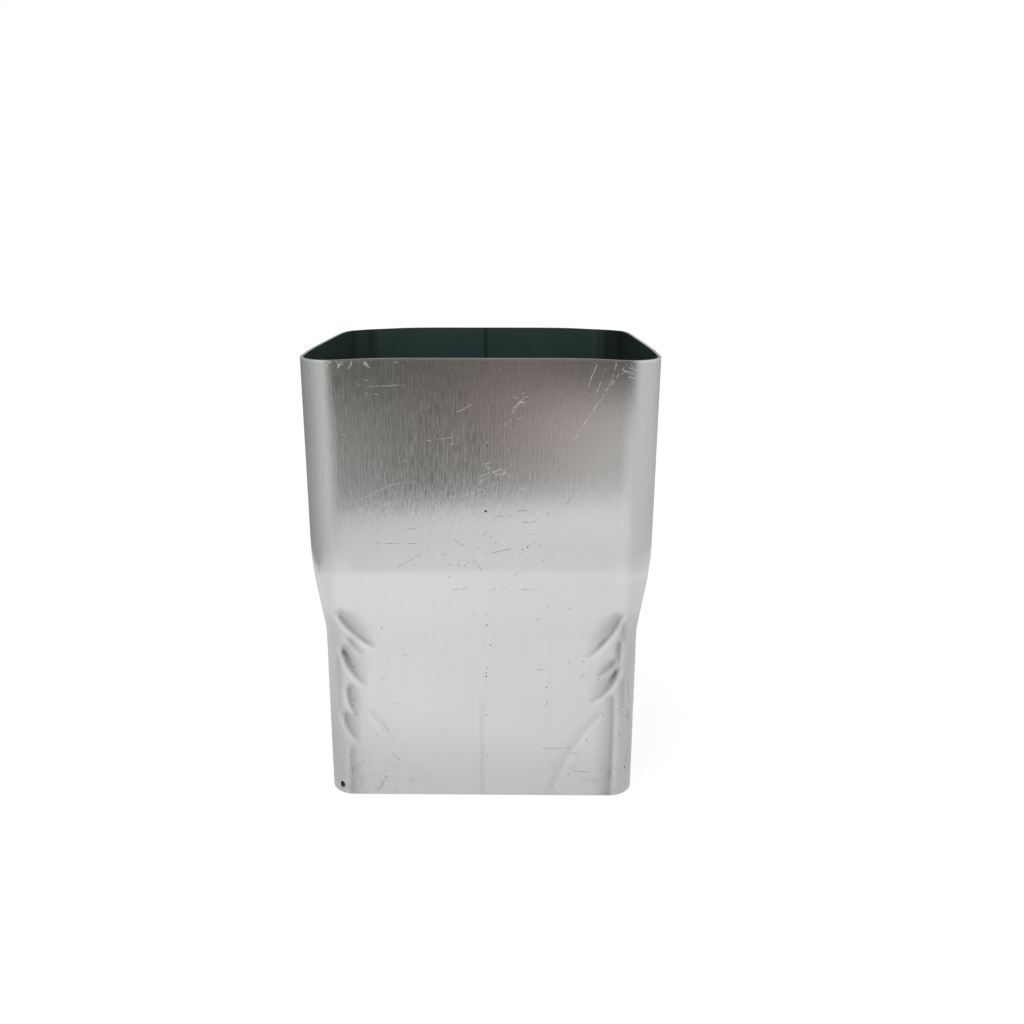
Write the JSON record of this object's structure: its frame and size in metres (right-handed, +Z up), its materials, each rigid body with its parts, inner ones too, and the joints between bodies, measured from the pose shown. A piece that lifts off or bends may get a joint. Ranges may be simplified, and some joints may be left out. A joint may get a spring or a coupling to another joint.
{
  "type": "square downpipe coupling",
  "caption": "Square downpipe coupling: thin aluminium sheet sleeve with a wide socket, a sloping shoulder and a narrower spigot with gathered corners.",
  "frame": {"origin": "centre of the spigot's rim, on the sleeve's axis", "axes": "+Z up along the sleeve from the spigot to the socket's mouth, -Y out of the pictured wall"},
  "size_m": [0.082, 0.082, 0.1095],
  "materials": {
    "bare_sheet": "bare aluminium with a fine upright grain, scuffs and pits outside; dark green gloss coat on the inner face"
  },
  "bodies": {
    "root": {"coupling_sleeve": "bare_sheet"}
  },
  "joints": []
}
